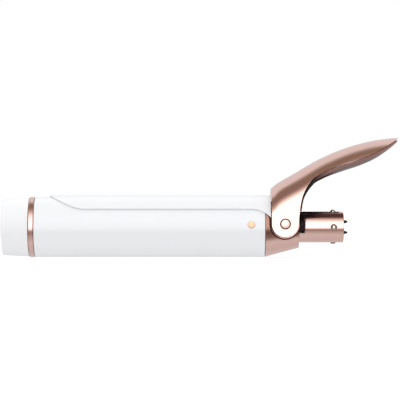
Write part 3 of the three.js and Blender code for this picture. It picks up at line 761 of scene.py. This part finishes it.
def radial_hole(quarter):
    """The cutter for one lug's hole."""
    hole = turned([
        (SLEEVE["bore"] - 1, 0), (SLEEVE["bore"] - 1, LUG["radius"] + CLEARANCE),
        (SLEEVE["radius"] + 1, LUG["radius"] + CLEARANCE), (SLEEVE["radius"] + 1, 0),
    ], along="Z", centre=(LUG["x"], 0, 0), steps=40)
    turn_about_barrel(hole, quarter)
    return hole


def turn_about_barrel(bm, quarter):
    """Turn a shape made on top of the sleeve to one of its four lug places."""
    bmesh.ops.rotate(bm, cent=(0, 0, 0), matrix=Matrix.Rotation(quarter * math.pi / 2, 3, "X"),
                     verts=bm.verts)


sleeve = turned([
    (SLEEVE["front"], SLEEVE["bore"]), (SLEEVE["front"], SLEEVE["radius"], EDGE),
    (SLEEVE["rear"], SLEEVE["radius"], SLEEVE["chamfer"]),
    (SLEEVE["rear"], SLEEVE["bore"], SLEEVE["bore_edge"]),
], steps=192)
for offset in (-LUG["split"], LUG["split"]):
    bmesh.ops.bisect_plane(sleeve, geom=sleeve.verts[:] + sleeve.edges[:] + sleeve.faces[:],
                           plane_co=(LUG["x"] + offset, 0, 0), plane_no=(1, 0, 0))
sleeve = carved(sleeve, *(radial_hole(quarter) for quarter in range(4)))
piece_from(sleeve, "bayonet_sleeve", "connector_sleeve")

for quarter in range(4):
    lug = turned([
        (SLEEVE["bore"] + LUG["foot"], 0), (SLEEVE["bore"] + LUG["foot"], LUG["radius"]),
        (LUG["top"] - LUG["crown"], LUG["radius"], LUG["edge"]),
        (LUG["top"], LUG["radius"] * LUG["top_share"], LUG["top_edge"]), (LUG["top"], 0),
    ], along="Z", centre=(LUG["x"], 0, 0), steps=48)
    turn_about_barrel(lug, quarter)
    piece_from(lug, f"locking_lug_{quarter + 1}", f"bayonet_lug_{quarter + 1}")

disc_radius = SLEEVE["bore"] - CLEARANCE
carrier = turned([
    (-CARRIER["length"], 0), (-CARRIER["length"], disc_radius, CARRIER["edge"]),
    (0, disc_radius, CARRIER["edge"]), (0, disc_radius - CARRIER["rim"], CARRIER["rim_edge"]),
    (-CARRIER["dish"], disc_radius - CARRIER["slope"]), (-CARRIER["dish"], 0),
], steps=96)
PLACES = [(1, 1), (-1, 1), (-1, -1), (1, -1)]
holes = [
    turned([
        (-CARRIER["length"] - 1, 0), (-CARRIER["length"] - 1, CARRIER["hole"]),
        (CARRIER["flare_start"], CARRIER["hole"]),
        (CARRIER["flare_end"], CARRIER["hole"] + CARRIER["flare"]),
        (1, CARRIER["hole"] + CARRIER["flare"]), (1, 0),
    ], centre=(0, y * PIN["offset"], z * PIN["offset"]), steps=32)
    for y, z in PLACES
]
piece_from(carved(carrier, *holes), "contact_disc", "contact_carrier")

pin_collar = -CARRIER["length"] - PIN["collar"]
for number, (y, z) in enumerate(PLACES, start=1):
    pin = turned([
        (PIN["tail"], 0), (PIN["tail"], PIN["tip"], PIN["tail_edge"]), (pin_collar, PIN["tip"]),
        (pin_collar, PIN["radius"]), (PIN["step"], PIN["radius"], PIN["step_edge"]),
        (PIN["step"], PIN["tip"]), (PIN["out"], PIN["tip"], PIN["tip_edge"]), (PIN["out"], 0),
    ], centre=(0, y * PIN["offset"], z * PIN["offset"]), steps=32)
    piece_from(pin, f"sprung_contact_{number}", f"contact_pin_{number}")

# %% [markdown]
# ## Hinge hardware
#
# A headed stud on each side carries an ear of the lever, and a coil spring round it closes
# the clip. The coil is a small circle spun about the pivot while it travels outwards, which
# is all that a helix is.

# %% Studs and springs
STUD = {"head": 2.75, "head_depth": 1.0, "head_edge": 0.18, "end": 7.6, "end_edge": 0.2}
EAR_FACE = 20.0

for name, side in SIDES:
    stud = turned_across([
        (STUD["end"], 0), (STUD["end"], STUD_SHANK, STUD["end_edge"]),
        (EAR_FACE - STUD["head_depth"], STUD_SHANK), (EAR_FACE - STUD["head_depth"], STUD["head"]),
        (EAR_FACE, STUD["head"], STUD["head_edge"]), (EAR_FACE, 0),
    ], side, PIVOT.x, PIVOT.z)
    piece_from(stud, f"pivot_head_{name}", f"pivot_stud_{name}")

    first = SPRING["floor"] + CLEARANCE + SPRING["wire"] / 2
    last = POCKET["floor"] - SPRING["below_ear"] - SPRING["wire"] / 2
    start = Vector((PIVOT.x + SPRING["coil"], side * first, PIVOT.z))
    coil = bmesh.new()
    bmesh.ops.create_circle(coil, cap_ends=True, segments=12, radius=SPRING["wire"] / 2,
                            matrix=Matrix.Translation(start))
    steps = SPRING["steps_per_turn"] * SPRING["turns"]
    bmesh.ops.spin(coil, geom=coil.verts[:] + coil.edges[:] + coil.faces[:],
                   cent=PIVOT, axis=(0, 1, 0), dvec=(0, side * (last - first) / steps, 0),
                   angle=2 * math.pi * SPRING["turns"], steps=steps)
    bmesh.ops.remove_doubles(coil, verts=coil.verts, dist=SAME_SPOT)
    bmesh.ops.recalc_face_normals(coil, faces=coil.faces)
    piece_from(coil, f"torsion_spring_{name}", f"clip_spring_{name}")

# %% [markdown]
# ## Clip plate
#
# The clip is a thin sheet that hugs the barrel, with a rounded nose and a flare where it
# runs into the lever. A flat grid is bent to that shape, its rows crowded towards both ends
# where the outline curves. It is then thickened like sheet metal, and its cut edges are
# rolled over.

# %% Clip plate
PLATE = {"inner": 19.2, "outer": 20.0, "tip": -185.5, "nose_end": -163.0, "flare_start": -59.0,
         "rear": -46.1, "half_angle": 54.0, "flare": 17.6, "tongue_rear": -41.0, "edge": 0.25,
         "nose_powers": (1.8, 0.7), "flare_power": 2.2, "crowding": 0.9}
PLATE_ROWS = 120
PLATE_COLUMNS = 54
TONGUE_COLUMNS = 13
PLATE_MERGE = 0.01
LAST_ROW = 0.999
SHARP_EDGE = math.radians(50)


def wrap_at(x):
    """How far round the barrel the plate reaches at x, in degrees from the crown."""
    if x < PLATE["nose_end"]:
        along = (PLATE["nose_end"] - x) / (PLATE["nose_end"] - PLATE["tip"])
        inner, outer = PLATE["nose_powers"]
        return PLATE["half_angle"] * max(0.0, 1 - along ** inner) ** outer
    if x < PLATE["flare_start"]:
        return PLATE["half_angle"]
    along = (x - PLATE["flare_start"]) / (PLATE["rear"] - PLATE["flare_start"])
    return PLATE["half_angle"] + PLATE["flare"] * along ** PLATE["flare_power"]


plate = bmesh.new()
bmesh.ops.create_grid(plate, x_segments=PLATE_ROWS, y_segments=PLATE_COLUMNS, size=0.5)
length = PLATE["rear"] - PLATE["tip"]
tongue = []
for vert in plate.verts:
    along = vert.co.x + 0.5
    across = vert.co.y * 2
    crowded = along - 0.5 * math.sin(2 * math.pi * along) / math.pi * PLATE["crowding"]
    x = PLATE["tip"] + length * crowded
    if along > LAST_ROW and abs(across) < (TONGUE_COLUMNS + 0.5) * 2 / PLATE_COLUMNS:
        tongue.append(vert)
    angle = math.radians(wrap_at(x)) * across
    vert.co = (x, PLATE["inner"] * math.sin(angle), PLATE["inner"] * math.cos(angle))
rear_edges = [edge for edge in plate.edges if all(vert in tongue for vert in edge.verts)]
longer = bmesh.ops.extrude_edge_only(plate, edges=rear_edges)["geom"]
bmesh.ops.translate(plate, vec=(PLATE["tongue_rear"] - PLATE["rear"], 0, 0),
                    verts=[item for item in longer if isinstance(item, bmesh.types.BMVert)])
bmesh.ops.remove_doubles(plate, verts=plate.verts, dist=PLATE_MERGE)
bmesh.ops.recalc_face_normals(plate, faces=plate.faces)
if plate.faces[0].normal.z < 0:
    bmesh.ops.reverse_faces(plate, faces=plate.faces)
bmesh.ops.solidify(plate, geom=plate.faces[:], thickness=PLATE["inner"] - PLATE["outer"])
bmesh.ops.recalc_face_normals(plate, faces=plate.faces)
cut_edges = [edge for edge in plate.edges if edge.calc_face_angle(0) > SHARP_EDGE]
round_off(plate, cut_edges, PLATE["edge"], segments=3)
piece_from(plate, "clip_sheet", "clip_plate")

# %% [markdown]
# ## Thumb lever
#
# The lever is a deep channel: an arched back, two ears that straddle the collar and a rim
# that sweeps up to a point. Its side view is two smooth lines through a few points, and its
# section is an arc that runs into flat flanks, upright at the ears and leaning outwards on
# the thumb pad.

# %% The lever's lines
TOP_POINTS = [(-46.2, 24.0), (-45.2, 24.7), (-41.1, 28.0), (-31, 33.8), (-15.8, 42.6), (0, 49.4),
              (14.6, 53.7), (27, 55.8), (36, 56.5)]
RIM_POINTS = [(-28.9, 4), (-28.15, 11), (-27.4, 15.8), (-26.1, 20.5), (-24.2, 24.6), (-22, 27.9),
              (-19.4, 30.8), (-14.4, 33.9), (-8.5, 36.7), (0.4, 39.9), (9.3, 42.7), (18.4, 46.3),
              (27.2, 51.2), (35.2, 56.4)]
EAR = {"x": -37.4, "z": 2.2, "radius": 8.25, "inner": 12.2}
ARCH = {"crown": 21.4, "turn": math.radians(51.5), "waist_start": -26.0, "waist_end": -12.0,
        "lean": math.radians(36)}
SHOULDER = (EAR_FACE - ARCH["crown"] * math.sin(ARCH["turn"])) / (1 - math.sin(ARCH["turn"]))
SHELL_WALL = 2.4
FRONT_WALL = 5.0


def spline(points, t):
    """A point on the smooth line through points, with t from 0 to 1."""
    place = t * (len(points) - 1)
    first = min(int(place), len(points) - 2)
    a, b, c, d = (Vector(points[max(0, min(len(points) - 1, first + i))]) for i in (-1, 0, 1, 2))
    s = place - first
    start, end = (c - a) / 2, (d - b) / 2
    bend = (c - b) * 3 - start * 2 - end
    twist = (b - c) * 2 + start + end
    return b + start * s + bend * s ** 2 + twist * s ** 3


def height_on(points, x):
    """The height of a smooth line at x."""
    low, high = 0.0, 1.0
    for _ in range(30):
        middle = (low + high) / 2
        if spline(points, middle).x < x:
            low = middle
        else:
            high = middle
    return spline(points, low).y


def ease(x, start, end, low, high):
    """Go smoothly from low at start to high at end."""
    t = min(1.0, max(0.0, (x - start) / (end - start)))
    return low + (high - low) * t * t * (3 - 2 * t)


def lean_at(x):
    """How far the flanks lean outwards at x."""
    return ease(x, ARCH["waist_start"], ARCH["waist_end"], 0, ARCH["lean"])


def on_arch(angle, inset=0.0):
    """How far out and how far down the arch has come at an angle from its crown."""
    first = min(angle, ARCH["turn"])
    crown, shoulder = ARCH["crown"] - inset, SHOULDER - inset
    return (crown * math.sin(first) + shoulder * (math.sin(angle) - math.sin(first)),
            crown * (1 - math.cos(first)) + shoulder * (math.cos(first) - math.cos(angle)))


def half_width(x, drop, inset=0.0):
    """Half the arch's width at a drop below its crown."""
    lean = lean_at(x)
    out, down = on_arch(math.pi / 2 - lean, inset)
    if drop >= down:
        return out + (drop - down) * math.tan(lean)
    low, high = 0.0, math.pi / 2 - lean
    for _ in range(30):
        middle = (low + high) / 2
        if on_arch(middle, inset)[1] < drop:
            low = middle
        else:
            high = middle
    return on_arch(low, inset)[0]


print("crown at the hinge", round(height_on(TOP_POINTS, PIVOT.x), 2))

# %% [markdown]
# The outside is made in two moves, as if milled from a bar. A closed arch is skinned over
# upright sections, and the side outline is then cut through it like a band saw. The saw's
# corners fall on the same stations as the sections, so the cut leaves no slivers and its
# edge can be rolled over. `draped` does the skinning: it bends a flat grid by a formula.

# %% The arch, sawn to its outline
ARC_STEPS = 26
RIM_STEPS = 72
EAR_END = -26.0
SAW_TOP = 62.0
SAW_REACH = 21.0
FOOT_AT_EARS, FOOT_BELOW_RIM = -12.0, 4
EAR_STATIONS, EAR_LEAD = 20, 0.7
ARCH_END, SAW_END, ROLLED_END = 35.9, 36, 34.6
RIM_ROUND = 0.45
SAWN_EDGE = math.radians(35)
UPRIGHT = 0.99999
DRAPE_MERGE = 0.0001


def draped(rows, columns, place):
    """A closed body: a grid whose rows are rings, each point moved to place(row, column)."""
    bm = bmesh.new()
    bmesh.ops.create_grid(bm, x_segments=rows, y_segments=columns, size=0.5)
    for vert in bm.verts:
        row = round((vert.co.x + 0.5) * rows)
        column = round((vert.co.y + 0.5) * columns)
        vert.co = place(row, column % columns)
    bmesh.ops.remove_doubles(bm, verts=bm.verts, dist=DRAPE_MERGE)
    ends = [edge for edge in bm.edges if edge.is_boundary]
    bmesh.ops.holes_fill(bm, edges=ends, sides=0)
    bmesh.ops.recalc_face_normals(bm, faces=bm.faces)
    return bm


def arch_point(x, column, bottom):
    """Corner number column of the section at x: two feet and the arc between them."""
    top = height_on(TOP_POINTS, x)
    if column in (0, 2 * ARC_STEPS + 2):
        side = -1 if column == 0 else 1
        return Vector((x, side * half_width(x, top - bottom), bottom))
    step = column - 1 - ARC_STEPS
    out, down = on_arch((math.pi / 2 - lean_at(x)) * abs(step) / ARC_STEPS)
    return Vector((x, math.copysign(out, step), top - down))


rim = [spline(RIM_POINTS, i / RIM_STEPS) for i in range(RIM_STEPS + 1)]
stations = [EAR["x"] - EAR["radius"] - EAR_LEAD + i for i in range(EAR_STATIONS)]
stations += [point.x for point in rim if point.x > EAR_END + 0.1] + [ARCH_END]


def foot_at(x):
    """How low the arch's feet stand at x, safely below the saw's cut."""
    return FOOT_AT_EARS if x < EAR_END else height_on(RIM_POINTS, x) - FOOT_BELOW_RIM


arch = draped(len(stations) - 1, 2 * ARC_STEPS + 3,
              lambda row, column: arch_point(stations[row], column, foot_at(stations[row])))
ear_sides = [face for face in arch.faces
             if abs(face.normal.y) > UPRIGHT and face.calc_center_median().x < EAR_END]
bmesh.ops.dissolve_faces(arch, faces=ear_sides)

outline = disc_points(EAR["x"], EAR["z"], EAR["radius"], 180, 360, steps=56)
outline += [tuple(point) for point in rim]
outline += [(SAW_END, SAW_TOP), (EAR["x"] - EAR["radius"], SAW_TOP)]
lever = carved(arch, slab(outline, -SAW_REACH, SAW_REACH), operation="INTERSECT")
rolled = [edge for edge in lever.edges
          if edge.is_manifold and edge.calc_face_angle() > SAWN_EDGE
          and sum(vert.co.x for vert in edge.verts) / 2 < ROLLED_END]
round_off(lever, rolled, RIM_ROUND, segments=4)
print("sawn lever", len(lever.faces), "faces,", len(rolled), "edges rolled")

# %% [markdown]
# The inside is cut in the same way. At the ears it is narrow, which leaves them thick
# enough for the hinge. Further back it follows the outside at the wall's thickness. The
# front wall keeps its full depth over the clip sheet's tongue.

# %% Hollow, tongue seat and hinge holes
CAVITY = {"end": 28.0, "narrow_end": -29, "wide_start": -22, "foot": -20, "below_rim": 6}
HEAD_SEAT = {"depth": 1.3, "radius": 3.4, "break": 0.1, "overshoot": 0.05, "bush": 3.2,
             "bush_end": 0.5}
HOLLOW_ROWS = 60
HOLLOW_STEPS = 24
ROOM_FRONT, ROOM_BOTTOM = -47, -20
SWAP_X_AND_Y = Matrix(((0, 1, 0, 0), (1, 0, 0, 0), (0, 0, 1, 0), (0, 0, 0, 1)))


def cavity_point(x, column):
    """A section of the hollow: narrow between the ears, then following the outside."""
    top = height_on(TOP_POINTS, x) - SHELL_WALL
    if column in (0, 2 * HOLLOW_STEPS + 2):
        foot = CAVITY["foot"] if x < EAR_END else height_on(RIM_POINTS, x) - CAVITY["below_rim"]
        drop = top - foot
        out, side = half_width(x, drop, SHELL_WALL), 1 if column else -1
    else:
        step = column - 1 - HOLLOW_STEPS
        out, drop = on_arch((math.pi / 2 - lean_at(x)) * abs(step) / HOLLOW_STEPS, SHELL_WALL)
        side = math.copysign(1, step)
    out = ease(x, CAVITY["narrow_end"], CAVITY["wide_start"], min(out, EAR["inner"]), out)
    return Vector((x, side * out, top - drop))


wall_back = EAR["x"] - EAR["radius"] + FRONT_WALL
hollow_stations = [wall_back + (CAVITY["end"] - wall_back) * i / HOLLOW_ROWS
                   for i in range(HOLLOW_ROWS + 1)]
hollow = draped(HOLLOW_ROWS, 2 * HOLLOW_STEPS + 3,
                lambda row, column: cavity_point(hollow_stations[row], column))

room_radius = PLATE["outer"] + CLEARANCE
corner = math.degrees(math.acos(EAR["inner"] / room_radius))
room_outline = disc_points(0, 0, room_radius, corner, 180 - corner, steps=48)
room_outline += [(-EAR["inner"], ROOM_BOTTOM), (EAR["inner"], ROOM_BOTTOM)]
sheet_room = slab(room_outline, ROOM_FRONT, wall_back + 0.1)
bmesh.ops.transform(sheet_room, matrix=SWAP_X_AND_Y, verts=sheet_room.verts)
bmesh.ops.reverse_faces(sheet_room, faces=sheet_room.faces)

holes = []
break_radius = HEAD_SEAT["radius"] + HEAD_SEAT["break"] + HEAD_SEAT["overshoot"]
for _, side in SIDES:
    holes.append(turned_across([
        (EAR_FACE - HEAD_SEAT["depth"], 0), (EAR_FACE - HEAD_SEAT["depth"], HEAD_SEAT["radius"]),
        (EAR_FACE - HEAD_SEAT["break"], HEAD_SEAT["radius"]),
        (EAR_FACE + HEAD_SEAT["overshoot"], break_radius),
        (EAR_FACE + 2, break_radius), (EAR_FACE + 2, 0),
    ], side, PIVOT.x, PIVOT.z))
    holes.append(turned_across([
        (EAR["inner"] - 1, 0), (EAR["inner"] - 1, HEAD_SEAT["bush"]),
        (EAR_FACE - HEAD_SEAT["bush_end"], HEAD_SEAT["bush"]),
        (EAR_FACE - HEAD_SEAT["bush_end"], 0),
    ], side, PIVOT.x, PIVOT.z))
lever = carved(lever, hollow, sheet_room, *holes)
piece_from(lever, "thumb_lever", "lever_shell", crease=30)

# %% [markdown]
# A thin black washer lies under each stud's head, so that metal doesn't rub on metal. It
# shows as a fine dark ring round the head.

# %% Washers
WASHER = {"bore": 2.1, "radius": 3.34, "thickness": 0.25, "edge": 0.05, "lift": 0.04}

washer_low = EAR_FACE - HEAD_SEAT["depth"] + WASHER["lift"]
washer_high = washer_low + WASHER["thickness"]
for name, side in SIDES:
    washer = turned_across([
        (washer_low, WASHER["bore"]), (washer_low, WASHER["radius"]),
        (washer_high, WASHER["radius"], WASHER["edge"]), (washer_high, WASHER["bore"]),
    ], side, PIVOT.x, PIVOT.z)
    extra_piece(washer, f"hinge_washer_{name}", "black_resin", "clip")

# %% [markdown]
# A black plate sits between each ear and the floor of its pocket. It is painted shade for the
# shadowed gap round the ear, cut to the ear's outline and a little larger, so the ear gets a thin dark border.

# %% Painted shadow plates round the ears
EAR_SHADOW_PLATE = {"inner": 11.8, "outer": 12.1, "larger": 0.45, "top": 14.0}

for name, side in SIDES:
    reach = EAR["radius"] + EAR_SHADOW_PLATE["larger"]
    border = disc_points(EAR["x"], EAR["z"], reach, 180, 360)
    border += [(EAR["x"] + reach, EAR_SHADOW_PLATE["top"]), (EAR["x"] - reach, EAR_SHADOW_PLATE["top"])]
    hole = turned_across([
        (EAR_SHADOW_PLATE["inner"] - 1, 0), (EAR_SHADOW_PLATE["inner"] - 1, HEAD_SEAT["bush"]),
        (EAR_SHADOW_PLATE["outer"] + 1, HEAD_SEAT["bush"]), (EAR_SHADOW_PLATE["outer"] + 1, 0),
    ], side, PIVOT.x, PIVOT.z)
    shadow_plate = carved(slab(border, *span(side, EAR_SHADOW_PLATE["inner"], EAR_SHADOW_PLATE["outer"])), hole)
    # A dark plate placed where there is only the shade of the gap round the ear: painted shadow.
    extra_piece(shadow_plate, f"ear_shadow_plate_{name}", "black_resin", "clip")

# %% [markdown]
# A darker cover closes the lever from below. Its sections stand square to the rim, and its
# belly swells towards the middle and dies away at both ends. Low down it is cut away between
# the ears, which leaves a leg behind each one and room for the connector. Every point also
# carries its depth below the rim, which the cover's finish reads to paint shade along the
# bottom of the belly.

# %% Underside cover
COVER = {"bulge": 3.8, "least_bulge": 0.4, "edge": 0.7, "start_height": 10.0, "leg_top": 18.0,
         "end": 33.4, "narrower": 0.2, "belly_power": 0.7, "roll": 0.2}
NOTCH = {"front": -36, "rear": -12}
COVER_ROWS = 100
BELLY_STEPS = 28
PATH_STEPS = 400

path = [spline(RIM_POINTS, i / PATH_STEPS) for i in range(PATH_STEPS + 1)]
path = [point for point in path if point.y >= COVER["start_height"] and point.x <= COVER["end"]]
travelled = [0.0]
for here, ahead in zip(path, path[1:]):
    travelled.append(travelled[-1] + (ahead - here).length)


def along_rim(share):
    """The point and direction on the rim after a share of the cover's length."""
    goal = share * travelled[-1]
    after = next((i for i, done in enumerate(travelled) if done >= goal and i > 0), len(path) - 1)
    step = (goal - travelled[after - 1]) / (travelled[after] - travelled[after - 1])
    direction = (path[after] - path[after - 1]).normalized()
    return path[after - 1].lerp(path[after], step), direction


LEG_SHARE = next(done for done, point in zip(travelled, path)
                 if point.y >= COVER["leg_top"]) / travelled[-1]


def cover_point(row, column):
    """A section of the cover: a bellied underside and a flat back just below the rim."""
    at, direction = along_rim(row / COVER_ROWS)
    share = max(0.0, row / COVER_ROWS - LEG_SHARE) / (1 - LEG_SHARE)
    square = Vector((-direction.y, direction.x))
    half = half_width(at.x, height_on(TOP_POINTS, at.x) - at.y) - COVER["narrower"]
    if column > BELLY_STEPS:
        y = half if column == BELLY_STEPS + 1 else -half
        drop = CLEARANCE
    else:
        angle = math.pi * (1 - column / BELLY_STEPS)
        fullest = COVER["bulge"] - COVER["edge"] - COVER["least_bulge"]
        rise = max(0.0, math.sin(math.pi * share)) ** COVER["belly_power"]
        swell = COVER["least_bulge"] + fullest * rise
        y = half * math.cos(angle)
        drop = CLEARANCE + COVER["edge"] + swell * math.sin(angle)
    return Vector((at.x - square.x * drop, y, at.y - square.y * drop))


cover = draped(COVER_ROWS, BELLY_STEPS + 3, cover_point)
gap = EAR["inner"] + CLEARANCE
notch = slab([(NOTCH["front"], 0), (NOTCH["rear"], 0), (NOTCH["rear"], COVER["leg_top"]),
              (NOTCH["front"], COVER["leg_top"])], -gap, gap)
cover = carved(cover, notch)
rolled = [edge for edge in cover.edges
          if edge.is_manifold and edge.calc_face_angle() > SHARP_EDGE]
round_off(cover, rolled, COVER["roll"], segments=3)
cover_piece = piece_from(cover, "lever_cover", "lever_underside")
# The depth below the rim drives the painted shade along the cover's belly.
below_rim = cover_piece.data.attributes.new("below_rim", "FLOAT", "POINT")
for vert, depth in zip(cover_piece.data.vertices, below_rim.data):
    at = vert.co / MM
    depth.value = height_on(RIM_POINTS, at.x) - at.z
print("cover reaches", round(max(depth.value for depth in below_rim.data), 2), "mm below the rim")
